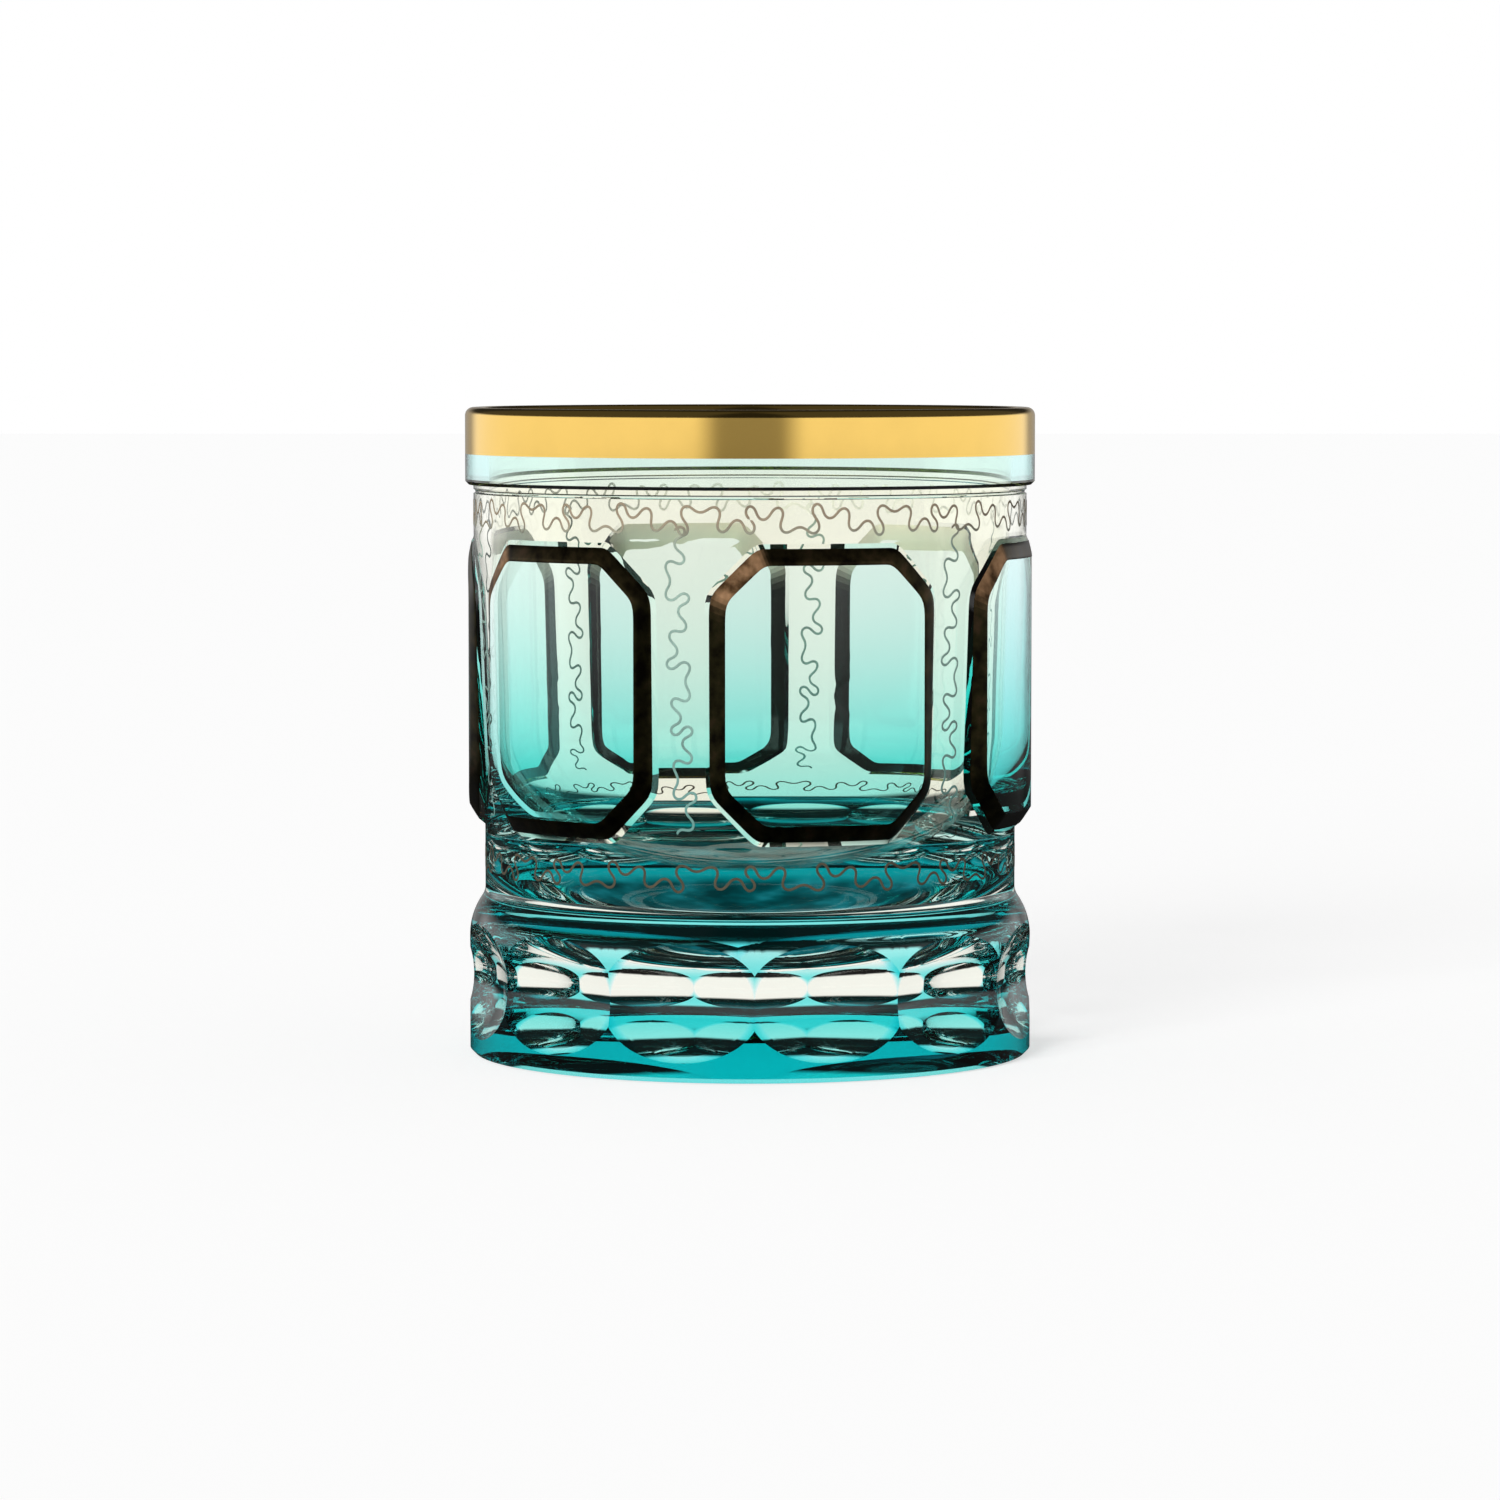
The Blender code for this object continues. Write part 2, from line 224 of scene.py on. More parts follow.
def piece(name, patches, mat, nodes=(), crease=CREASE, shades=True):
    """Weld patches, each a closed-round grid with a mark for its faces, into one smooth solid.

    A piece that doesn't shade lets lamplight through to what lies behind it.
    """
    points, quads, marks, start = [], [], [], 0
    for grid, mark in patches:
        rows, columns = grid.shape[:2]
        points.append(grid.reshape(-1, 3))
        quads.append(grid_quads(rows, columns, start))
        marks.append(np.broadcast_to(mark, (rows - 1, columns)).ravel())
        start += rows * columns
    mesh = bpy.data.meshes.new(name)
    mesh.from_pydata(np.concatenate(points) * MILLIMETRE, [], np.concatenate(quads))
    kept = mesh.attributes.new("mark", "FLOAT", "FACE")
    kept.data.foreach_set("value", np.concatenate(marks).astype(np.float32))
    bm = bmesh.new()
    bm.from_mesh(mesh)
    bmesh.ops.remove_doubles(bm, verts=bm.verts, dist=WELD)
    bmesh.ops.recalc_face_normals(bm, faces=bm.faces)
    bm.to_mesh(mesh)
    bm.free()
    mesh.shade_smooth()
    mesh.set_sharp_from_angle(angle=math.radians(crease))
    mesh.materials.append(mat)
    made = bpy.data.objects.new(name, mesh)
    made.visible_shadow = shades
    bpy.context.scene.collection.objects.link(made)
    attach(made, "root")
    if nodes:
        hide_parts(*nodes)


# Panels and their gilding


def ground(height):
    """Radius of the clear ground: the waist's, widening evenly behind the panels to the band's."""
    share = np.clip((height - PANEL_BOTTOM) / (PANEL_TOP - PANEL_BOTTOM), 0.0, 1.0)
    return WAIST_RADIUS + (BAND_RADIUS - WAIST_RADIUS) * share


def facet_top(height):
    """Radius at the top of the cut facet, a share of the way from the ground to the face."""
    return ground(height) + FACET_SHARE * (PANEL_RADIUS - ground(height))


def casing_depth(height):
    """Thickness of a panel's casing, fading upwards as an exponential to its least."""
    fade = np.exp(-(height - PANEL_BOTTOM) / CASING_FADE)
    return CASING_HIGH + (CASING_LOW - CASING_HIGH) * fade


def eight_sided(inset):
    """Closed eight-sided loop of (turn, height), every side moved in by inset.

    Its points are averaged with their neighbours a few times, which rounds the corners.
    """
    wide = PANEL_HALF_WIDTH - inset
    tall = PANEL_HALF_HEIGHT - inset
    corner = PANEL_CORNER - inset * (2.0 - math.sqrt(2.0))
    middle = (wide - corner / 2, tall - corner / 2)
    stations = [(wide, 0.0), (wide, tall - corner), middle, (wide - corner, tall), (0.0, tall)]
    sides = zip(stations, stations[1:], PANEL_STEPS)
    quarter = np.concatenate([stations[:1]] + [run(*side)[1:] for side in sides])
    loop = round_trip(quarter)
    for _ in range(CORNER_PASSES):
        loop = (np.roll(loop, 1, axis=0) + loop + np.roll(loop, -1, axis=0)) / 3.0
    return loop / (BEND_RADIUS, 1.0) + (0.0, PANEL_MIDDLE)


def field_edge():
    """Closed loop of (turn, height) round the sixth of the body that one panel stands in."""
    half = math.pi / PANELS
    corner = (half, FIELD_HALF)
    side = run((half, 0.0), corner, sum(PANEL_STEPS[:2]))
    top = run(corner, (0.0, FIELD_HALF), sum(PANEL_STEPS[2:]))
    return round_trip(np.concatenate([side, top[1:]])) + (0.0, PANEL_MIDDLE)


def to_middle(loop):
    """Rows from a loop in to the panel's middle."""
    middle = np.broadcast_to((0.0, PANEL_MIDDLE), loop.shape)
    return between(loop, middle, even(10))


def climb(low, high, shares):
    """Radii of the rows between a loop of radii and another."""
    return between(low, np.broadcast_to(high, low.shape), shares)[..., 0]


def on_panel(loops, radius, number):
    """Grid of (turn, height) rows set on a panel at a radius."""
    turn = loops[..., 0] + FIRST_TURN + number * 2 * math.pi / PANELS
    return placed(turn, radius, loops[..., 1])


def panel_field(number):
    """Clear ground, cut facet and the pedestal that one panel's casing is fused to."""
    foot, low, high = eight_sided(0.0), eight_sided(FACET), eight_sided(FACET + BEVEL)
    floor_rows = between(field_edge(), foot, even(6))
    facet_rows = between(foot, low, even(3))
    bevel_rows = between(low, high, even(3))
    face_rows = to_middle(high)
    facet = facet_top(low[:, 1:])
    under = PANEL_RADIUS - SEAM - casing_depth(high[:, 1:])
    return [
        (on_panel(floor_rows, ground(floor_rows[..., 1]), number), False),
        (on_panel(facet_rows, climb(ground(foot[:, 1:]), facet, even(3)), number), False),
        (on_panel(bevel_rows, climb(facet, under, even(3)), number), True),
        (on_panel(face_rows, PANEL_RADIUS - SEAM - casing_depth(face_rows[..., 1]), number), True),
    ]


def panel_casing(number):
    """Casing of one panel: polished face, bevel under the gilding, and the fused underside."""
    low, high = eight_sided(FACET), eight_sided(FACET + BEVEL)
    bevel_rows = between(low, high, even(3))
    face_rows = to_middle(high)
    facet = facet_top(low[:, 1:])
    under = PANEL_RADIUS - casing_depth(high[:, 1:])
    return [
        (on_panel(bevel_rows, climb(facet, PANEL_RADIUS, even(3)), number), True),
        (on_panel(face_rows, PANEL_RADIUS, number), False),
        (on_panel(bevel_rows, climb(facet, under, even(3)), number), True),
        (on_panel(face_rows, PANEL_RADIUS - casing_depth(face_rows[..., 1]), number), True),
    ]


def panel_frame(number):
    """Gilding on one bevel: a low cushion-shaped section carried round the eight sides.

    The outer faces are marked with a painted copper highlight, most at the upper left corner.
    Those against the glass are marked from 2 to 3, by how far they look up, for painted light and shade.
    """
    low, high = eight_sided(FACET - GILDING_LAP), eight_sided(FACET + BEVEL + GILDING_LAP)
    radii = climb(facet_top(low[:, 1:]), PANEL_RADIUS, CUSHION_SHARES)
    way = (np.roll(low, -1, axis=0) - low) * (BEND_RADIUS, 1.0)
    way = way / np.hypot(way[:, 0], way[:, 1])[:, None]
    upward, leftward = np.clip(-way, 0.0, 1.0).T
    # Painted highlight, standing in for light from the upper left on the bevels that face it
    painted_highlight = np.clip(CORNER_HIGHLIGHT * upward * leftward + TOP_HIGHLIGHT * upward, 0.0, 1.0)
    outside = between(low, high, CUSHION_SHARES)
    return [
        (on_panel(outside, radii + CUSHION_LIFT[:, None], number), painted_highlight[None]),
        (on_panel(outside[[0, -1]], radii[[0, -1]] + GILDING_SEAM, number), BEHIND + upward[None]),
    ]


# Foot and its hollows

HOLLOW_RADIUS = FOOT_RADIUS - HOLLOW_DEPTH
HOLLOW_SWEEP = (HOLLOW_HALF ** 2 + HOLLOW_DEPTH ** 2) / (2 * HOLLOW_DEPTH)
CORE_FOOT = FOOT_RADIUS - FOOT_SKIN
RIDGE_TURN = math.pi / HOLLOWS
COVE_SWEEP = math.acos(1.0 - (FOOT_RADIUS - WAIST_RADIUS) / (COVE_RADIUS + SHOULDER_RADIUS))
SHOULDER_LOW = WAIST_BOTTOM - (COVE_RADIUS + SHOULDER_RADIUS) * math.sin(COVE_SWEEP)


def foot_outline(height):
    """Radius of the foot before it is hollowed: straight, then in along the shoulder's arc."""
    rise = np.clip(height - SHOULDER_LOW, 0.0, None)
    return FOOT_RADIUS - SHOULDER_RADIUS + np.sqrt(SHOULDER_RADIUS ** 2 - rise ** 2)


def core_outline(height):
    """Radius of the clear core in the foot: the casing over it thins away up the shoulder."""
    share = np.clip((FOOT_TOP - height) / (FOOT_TOP - SKIN_TOP), SKIN_LEAST, 1.0)
    return foot_outline(height) - FOOT_SKIN * share


def dish(turn):
    """How far a hollow rises from its middle to a ridge, by the square of the turn."""
    return HOLLOW_DISH * (turn / RIDGE_TURN) ** 2


def barrel(loops):
    """Radius of a hollow's surface: (least + sag over height + dish over turn) / cos(turn)."""
    sag = HOLLOW_SWEEP - np.sqrt(HOLLOW_SWEEP ** 2 - loops[..., 1] ** 2)
    return (HOLLOW_RADIUS + sag + dish(loops[..., 0])) / np.cos(loops[..., 0])


def meeting(turn, outline, way):
    """Height from a hollow's middle, up (1) or down (-1), at which it meets an outline, by halving."""
    low, high = np.zeros_like(turn), np.full_like(turn, HOLLOW_REACH)
    for _ in range(HALVINGS):
        middle = (low + high) / 2
        cut = barrel(np.stack([turn, middle], axis=-1)) < outline(HOLLOW_MIDDLE + way * middle)
        low, high = np.where(cut, middle, low), np.where(cut, high, middle)
    return low


def half_hollow(way, reach):
    """Loops of (turn, height) for one hollow, true for its upper (1) or lower (-1) half.

    The rim follows the ridge between hollows, then the curve where the hollow leaves the
    foot. The window is where the hollow leaves the core, met along the same directions.
    """
    ridge = float(meeting(np.array([RIDGE_TURN]), foot_outline, way)[0])
    bend = HOLLOW_BEND * RIDGE_TURN
    ridge_steps, side_steps, top_steps = HOLLOW_STEPS
    up = run((RIDGE_TURN, 0.0), (RIDGE_TURN, ridge), ridge_steps)
    curve = np.concatenate([run(RIDGE_TURN, bend, side_steps)[1:], run(bend, 0.0, top_steps)[1:]])
    rim = np.concatenate([up, np.stack([curve, meeting(curve, foot_outline, way)], axis=-1)])
    across = np.linspace(RIDGE_TURN, 0.0, SEARCH_POINTS)
    cut = CORE_FOOT * np.cos(across) - HOLLOW_RADIUS - dish(across)
    dense = np.linspace(float(np.interp(0.0, cut, across)), 0.0, WINDOW_POINTS)
    dense_way = np.arctan2(meeting(dense, core_outline, way) / HOLLOW_HALF, dense / RIDGE_TURN)
    rim_way = np.arctan2(rim[:, 1] / HOLLOW_HALF, rim[:, 0] / RIDGE_TURN)
    turn = np.interp(rim_way, dense_way, dense)
    window = np.stack([turn, meeting(turn, core_outline, way)], axis=-1)
    window[0, 1] = 0.0
    field = np.concatenate([
        up,
        run((RIDGE_TURN, ridge), (RIDGE_TURN, reach), side_steps)[1:],
        run((RIDGE_TURN, reach), (0.0, reach), top_steps)[1:],
    ])
    return [round_trip(loop) for loop in (field, rim, window)]


def hollow_loops(low):
    """Field's edge, rim and clear window of one hollow, from a low height to the foot's top."""
    upper = half_hollow(1, FOOT_TOP - HOLLOW_MIDDLE)
    lower = half_hollow(-1, HOLLOW_MIDDLE - low)
    above = upper[1][:, 1:] >= 0.0
    return [np.where(above, top, bottom) for top, bottom in zip(upper, lower)]


def on_foot(loops, radius, number):
    """Grid of (turn, height) rows set on the foot at a radius, about one hollow."""
    turn = loops[..., 0] + FIRST_TURN + number * 2 * math.pi / HOLLOWS
    return placed(turn, radius, loops[..., 1] + HOLLOW_MIDDLE)


def foot_core(number):
    """Core at one hollow: the fused wall round its window, and the clear hollow itself."""
    field, _, window = hollow_loops(FOOT_EDGE + SOLE_SKIN)
    wall = between(window, field, WALL_SHARES)
    radius = core_outline(wall[..., 1] + HOLLOW_MIDDLE) - SEAM
    radius[0] += SEAM
    bowl = between(window, np.zeros_like(window), even(20))
    return [(on_foot(wall, radius, number), True), (on_foot(bowl, barrel(bowl), number), False)]


def foot_casing(number):
    """Casing at one hollow: its polished outside, the cut round the window, the fused inside."""
    field, rim, window = hollow_loops(FOOT_EDGE)
    inner_field = hollow_loops(FOOT_EDGE + SOLE_SKIN)[0]
    outside = between(rim, field, even(9))
    on_ridge = np.isclose(rim, field).all(axis=-1)
    radius = np.where(on_ridge, barrel(rim), foot_outline(outside[..., 1] + HOLLOW_MIDDLE))
    cut = between(rim, window, even(6))
    inside = between(window, inner_field, WALL_SHARES)
    return [
        (on_foot(outside, radius, number), False),
        (on_foot(cut, barrel(cut), number), False),
        (on_foot(inside, core_outline(inside[..., 1] + HOLLOW_MIDDLE), number), True),
    ]


# Whole pieces


def bowl_wall():
    """Round of the bowl, a quarter of a superellipse: (r / a)^n + (drop / b)^n = 1, floor to wall."""
    quarter = even(36) * math.pi / 2
    power = 2.0 / BOWL_SQUARENESS
    radius = FLOOR_RADIUS * np.sin(quarter) ** power
    drop = (BOWL_HEIGHT - FLOOR_HEIGHT) * np.cos(quarter) ** power
    return np.stack([radius, BOWL_HEIGHT - drop], axis=-1)


def sole(radius, edge, height):
    """Underside's profile: in from a chamfered edge to the axis."""
    return [(radius, edge), (radius - FOOT_EDGE, height), (SOLE_MIDDLE, height), (0.0, height)]


def core_patches():
    """Clear body: floor, inside wall, lip under the gold, band, waist, cove, shoulder and foot."""
    bowl = bowl_wall()
    inside = np.concatenate([bowl, run(bowl[-1], (INSIDE_LIP, GOLD_INSIDE), 8)[1:]])
    lip = np.concatenate([
        [inside[-1], (INSIDE_LIP + GOLD_SKIN, GOLD_INSIDE)],
        arc(LIP_IN, LIP_MIDDLE, UNDER_GOLD, 180, 90, 12),
        [(LIP_OUT - SEAM, LIP_MIDDLE + UNDER_GOLD), (LIP_OUT - SEAM, RING_BOTTOM)],
        [(BAND_RADIUS, RING_BOTTOM - SEAM)],
    ])
    groove_low = GROOVE_TOP - GROOVE_WIDTH
    groove_middle = (GROOVE_TOP + groove_low) / 2
    band = np.concatenate([
        [lip[-1], (BAND_RADIUS, GROOVE_TOP)],
        arc(BAND_RADIUS + GROOVE_OUT, groove_middle, GROOVE_DEPTH, 90, 270, 8)[1:-1],
        run((BAND_RADIUS, groove_low), (BAND_RADIUS, PANEL_MIDDLE + FIELD_HALF), 3),
    ])
    sweep = math.degrees(COVE_SWEEP)
    casing_from = math.degrees(math.asin((FOOT_TOP - SHOULDER_LOW) / SHOULDER_RADIUS))
    foot = np.concatenate([
        run((WAIST_RADIUS, PANEL_MIDDLE - FIELD_HALF), (WAIST_RADIUS, WAIST_BOTTOM), 3),
        arc(WAIST_RADIUS + COVE_RADIUS, WAIST_BOTTOM, COVE_RADIUS, 180, 180 + sweep, 12)[1:],
        arc(FOOT_RADIUS - SHOULDER_RADIUS, SHOULDER_LOW, SHOULDER_RADIUS, sweep, casing_from, 6)[1:],
    ])
    ledge = [foot[-1], (core_outline(FOOT_TOP) - SEAM, FOOT_TOP)]
    underside = sole(CORE_FOOT, FOOT_EDGE + SOLE_SKIN, SOLE_SKIN + SEAM)
    underside[0] = (CORE_FOOT - SEAM, FOOT_EDGE + SOLE_SKIN)
    polished = [(turned(rows), False) for rows in (inside, band, foot)]
    fused = [(turned(rows), True) for rows in (lip, ledge, underside)]
    fields = [patch for number in range(PANELS) for patch in panel_field(number)]
    hollows = [patch for number in range(HOLLOWS) for patch in foot_core(number)]
    return polished + fused + fields + hollows


def foot_patches():
    """Casing dish: the fused top, the sole, the inside and twelve cut fields."""
    top = [(foot_outline(FOOT_TOP), FOOT_TOP), (core_outline(FOOT_TOP), FOOT_TOP)]
    underside = sole(FOOT_RADIUS, FOOT_EDGE, 0.0)
    inside = sole(CORE_FOOT, FOOT_EDGE + SOLE_SKIN, SOLE_SKIN)
    whole = [(turned(top), True), (turned(underside), False), (turned(inside), True)]
    return whole + [patch for number in range(HOLLOWS) for patch in foot_casing(number)]


def ring_patches():
    """Rim ring: polished below the gold, fused behind and under it."""
    hidden = np.concatenate([
        [(LIP_RADIUS, GOLD_BOTTOM), (LIP_RADIUS - GOLD_SKIN, GOLD_BOTTOM)],
        arc(LIP_OUT, LIP_MIDDLE, UNDER_GOLD, 0, 90, 12),
        [(LIP_OUT, RING_BOTTOM)],
    ])
    shown = [(LIP_OUT, RING_BOTTOM), (LIP_RADIUS - RING_EDGE, RING_BOTTOM),
             (LIP_RADIUS, RING_BOTTOM + RING_EDGE), (LIP_RADIUS, GOLD_BOTTOM)]
    return [(turned(hidden), True), (turned(shown), False)]


def gold_patches():
    """Gold cap: a skin up the inside of the lip, over its two rounds and down the outside."""
    skin = GOLD_SKIN - SEAM
    thin = LIP_ROUND - skin
    profile = np.concatenate([
        [(INSIDE_LIP, GOLD_INSIDE)],
        arc(LIP_IN, LIP_MIDDLE, LIP_ROUND, 180, 90, 16),
        arc(LIP_OUT, LIP_MIDDLE, LIP_ROUND, 90, 0, 16),
        [(LIP_RADIUS, GOLD_BOTTOM), (LIP_RADIUS - skin, GOLD_BOTTOM)],
        arc(LIP_OUT, LIP_MIDDLE, thin, 0, 90, 16),
        arc(LIP_IN, LIP_MIDDLE, thin, 90, 180, 16),
        [(INSIDE_LIP + skin, GOLD_INSIDE), (INSIDE_LIP, GOLD_INSIDE)],
    ])
    return [(turned(profile), False)]


def wandering(length, waves, height, points):
    """Sine-generated line: its heading swings as three cosines of the distance along it.

    With f = 2 pi waves s, the heading is 0.9 cos f + 0.4 cos(2 f + 1.2 sin(f / 3)) + 1.2 cos 3 f.
    Summing its cosine and sine gives the line, which is levelled, stretched to the length
    and scaled to the height.
    """
    f = 2 * math.pi * waves * even(points - 1)
    heading = 0.9 * np.cos(f) + 0.4 * np.cos(2 * f + 1.2 * np.sin(f / 3)) + 1.2 * np.cos(3 * f)
    along, across = np.cumsum(np.cos(heading)), np.cumsum(np.sin(heading))
    across -= np.linspace(across[0], across[-1], points)
    along = (along - along[0]) * length / (along[-1] - along[0])
    low, high = across.min(), across.max()
    return along, (across - (low + high) / 2) * height / (high - low)


def line_patch(turn, height, radius):
    """Raised line: a flat-topped section carried along a path, marked 1 against the glass."""
    path = turn * radius
    way_x, way_z = np.gradient(path), np.gradient(height)
    size = np.hypot(way_x, way_z)
    side_x, side_z = -way_z / size, way_x / size
    count = np.arange(len(turn))
    taper = np.clip(np.minimum(count, count[::-1]) / LINE_TAPER, 0.0, 1.0)[:, None]
    off = np.array([-LINE_HALF, -LINE_FLAT, LINE_FLAT, LINE_HALF]) * taper
    lift = np.array([-LINE_SUNK, LINE_LIFT, LINE_LIFT, -LINE_SUNK]) * taper
    across = path[:, None] + off * side_x[:, None]
    up = height[:, None] + off * side_z[:, None]
    against = np.array([[0.0, 0.0, 0.0, 1.0]])
    return placed(across / radius[:, None], radius[:, None] + lift, up), against


def band_line(radius, middle, swing, waves):
    """Meander line once round the body."""
    along, across = wandering(2 * math.pi * radius, waves, swing, BAND_POINTS)
    return line_patch(along / radius, middle + across, np.full(BAND_POINTS, radius))


def bar_line(number):
    """Meander line down the clear bar beside one panel."""
    along, across = wandering(BAR_LENGTH, BAR_WAVES, BAR_SWING, BAR_POINTS)
    bar = FIRST_TURN + (number + 0.5) * 2 * math.pi / PANELS
    height = BAR_TOP - along
    return line_patch(bar + across / BEND_RADIUS, height, ground(height))


def meander_patches():
    """Meander lines round the upper band, round the lower band and down each clear bar."""
    upper = band_line(BAND_RADIUS, BAND_MIDDLE, BAND_SWING, BAND_WAVES)
    lower = band_line(WAIST_RADIUS, WAIST_MIDDLE, WAIST_SWING, WAIST_WAVES)
    return [upper, lower] + [bar_line(number) for number in range(PANELS)]


# Shaders

WHITE = (1.0, 1.0, 1.0)
UNLIT = (0.05, 0.05, 0.05)


def opaque(level):
    """Colour at full alpha, from a grey level or from red, green and blue."""
    parts = level if isinstance(level, tuple) else (level, level, level)
    return (*parts, 1.0)


class Wire:
    """A shader value; arithmetic on it adds Math nodes to its tree."""

    def __init__(self, tree, socket):
        self.tree = tree
        self.socket = socket

    def __add__(self, other):
        return self.tree.calc("ADD", self, other)

    def __radd__(self, other):
        return self.tree.calc("ADD", other, self)

    def __sub__(self, other):
        return self.tree.calc("SUBTRACT", self, other)

    def __rsub__(self, other):
        return self.tree.calc("SUBTRACT", other, self)

    def __mul__(self, other):
        return self.tree.calc("MULTIPLY", self, other)

    def __rmul__(self, other):
        return self.tree.calc("MULTIPLY", other, self)


class Tree:
    """The node tree of a material or a world, emptied and ready to be drawn in."""

    def __init__(self, owner):
        owner.use_nodes = True
        self.nodes = owner.node_tree.nodes
        self.links = owner.node_tree.links
        self.nodes.clear()

    def node(self, kind, settings=None, sockets=None, out=0):
        """Add a node: its settings first, then a value or a link for each socket named."""
        made = self.nodes.new(kind)
        for name, value in (settings or {}).items():
            if name == "stops":
                self.set_stops(made.color_ramp, value)
            else:
                setattr(made, name, value)
        for name, value in (sockets or {}).items():
            socket = made.inputs[name]
            if isinstance(value, Wire):
                self.links.new(value.socket, socket)
            else:
                socket.default_value = opaque(value) if socket.type == "RGBA" else value
        return Wire(self, made.outputs[out]) if len(made.outputs) else made

    def set_stops(self, ramp, stops):
        """Give a ramp its stops, each a place and a grey level or a colour."""
        while len(ramp.elements) < len(stops):
            ramp.elements.new(1.0)
        for element, (place, level) in zip(ramp.elements, stops):
            element.position = place
            element.color = opaque(level)

    def calc(self, operation, first, second=0.0):
        """Math on one or two values."""
        return self.node("ShaderNodeMath", {"operation": operation}, {0: first, 1: second})

    def slope(self, value, start, end):
        """0 to 1 as a value goes from start to end, and level beyond them."""
        return self.node("ShaderNodeMapRange", None, {0: value, 1: start, 2: end})

    def part(self, vector, axis):
        """One part of a vector: X, Y or Z."""
        return self.node("ShaderNodeSeparateXYZ", None, {0: vector}, out=axis)

    def ramp(self, value, *stops):
        """Colours along a value, from stop to stop."""
        return self.node("ShaderNodeValToRGB", {"stops": stops}, {"Fac": value})

    def mix(self, share, first, second, blend="MIX"):
        """Colour that is a share of the way from the first to the second."""
        settings = {"data_type": "RGBA", "blend_type": blend, "clamp_factor": True}
        return self.node("ShaderNodeMix", settings, {0: share, 6: first, 7: second}, out=2)

    def cloud(self, at, scale, detail):
        """Noise over a place."""
        sockets = {"Vector": at, "Scale": scale, "Detail": detail}
        return self.node("ShaderNodeTexNoise", None, sockets, out="Fac")

    def place(self):
        """Place on the piece."""
        return self.node("ShaderNodeTexCoord", out="Object")

    def mark(self):
        """Mark that the piece's faces carry."""
        return self.node("ShaderNodeAttribute", {"attribute_name": "mark"}, out="Fac")

    def ray(self, fact):
        """A fact about the ray of light that is followed."""
        return self.node("ShaderNodeLightPath", out=fact)

    def blend(self, share, first, second):
        """Shader that is a share of the way from the first to the second."""
        return self.node("ShaderNodeMixShader", None, {0: share, 1: first, 2: second})


def new_material(name):
    """Material and its emptied tree."""
    mat = bpy.data.materials.new(name)
    return mat, Tree(mat)


def glass(name, colour, absorbed=None, density=0.0):
    """Polished glass that lets light straight through where its faces are marked as fused."""
    mat, tree = new_material(name)
    polished = tree.node("ShaderNodeBsdfPrincipled", None, {
        "Base Color": colour, "Roughness": 0.0, "IOR": 1.54, "Transmission Weight": 1.0})
    joined = tree.node("ShaderNodeBsdfTransparent")
    sockets = {"Surface": tree.blend(tree.mark(), polished, joined)}
    if absorbed is not None:
        sockets["Volume"] = tree.node("ShaderNodeVolumeAbsorption", None, {
            "Color": absorbed, "Density": density})
    tree.node("ShaderNodeOutputMaterial", None, sockets)
    return mat


def polished_gold():
    """Burnished gold with a faint unevenness in its polish."""
    mat, tree = new_material("polished_gold")
    cloud = tree.cloud(tree.place(), 160.0, 3.0)
    metal = tree.node("ShaderNodeBsdfPrincipled", None, {
        "Base Color": (1.0, 0.66, 0.17), "Metallic": 1.0, "Roughness": 0.10 + 0.08 * cloud})
    tree.node("ShaderNodeOutputMaterial", None, {"Surface": metal})
    return mat


def fired_gilding():
    """Dark fired gilding on the bevels, with a patchy painted copper highlight.

    Against the glass it is painted with light and shade: near black, and a cream painted
    highlight where the faces look up.
    """
    mat, tree = new_material("fired_gilding")
    cloud = tree.cloud(tree.place(), 420.0, 4.0)
    mark = tree.mark()
    dark = tree.ramp(
        cloud, (0.35, (0.010, 0.008, 0.005)), (0.55, (0.034, 0.030, 0.012)), (0.80, (0.085, 0.052, 0.028)))
    # Painted copper highlight, uneven in tone, laid on where the mark is high
    painted_highlight = tree.ramp(cloud, (0.35, (0.06, 0.032, 0.014)), (0.70, (0.40, 0.23, 0.12)))
    outside = tree.mix(mark, dark, painted_highlight)
    # Painted light and shade against the glass: near black, cream where the faces look up
    against = tree.mix(mark - BEHIND, (0.006, 0.008, 0.005), (0.95, 0.92, 0.75))
    behind = tree.calc("GREATER_THAN", mark, BEHIND - 0.5)
    # Metal is turned down on the painted faces, so that the lamp shows their painted colour
    dull = tree.node("ShaderNodeMath", {"operation": "MAXIMUM", "use_clamp": True}, {
        0: behind, 1: 0.6 * mark})
    metal = tree.node("ShaderNodeBsdfPrincipled", None, {
        "Base Color": tree.mix(behind, outside, against), "Metallic": 1.0 - dull,
        "Roughness": 0.22 + 0.2 * cloud, "Specular IOR Level": 0.0})
    tree.node("ShaderNodeOutputMaterial", None, {"Surface": metal})
    return mat


def fired_line():
    """Thin drawn line, grey-brown on the bands and grey-green between them, uneven in tone.

    Against the glass of the upper band it is pale.
    """
    mat, tree = new_material("fired_line")
    at = tree.place()
    cloud = tree.cloud(at, 300.0, 2.0)
    height = tree.part(at, "Z")
    tone = tree.ramp(
        10.0 * height, (0.31, (0.09, 0.075, 0.05)), (0.36, (0.14, 0.30, 0.27)), (0.62, (0.29, 0.43, 0.37)),
        (0.75, (0.31, 0.42, 0.35)), (0.79, (0.32, 0.26, 0.18)))
    pale = tree.mark() * tree.calc("GREATER_THAN", height, 0.077)
    tone = tree.mix(pale, tone, (0.95, 0.95, 0.85))
    faded = tree.mix(0.6, tone, tree.ramp(cloud, (0.3, 0.5), (0.6, 1.0)), "MULTIPLY")
    paint = tree.node("ShaderNodeBsdfPrincipled", None, {
        "Base Color": faded, "Roughness": 0.35 + 0.3 * cloud, "Specular IOR Level": 0.2})
    tree.node("ShaderNodeOutputMaterial", None, {"Surface": paint})
    return mat


# Stage, in metres and degrees

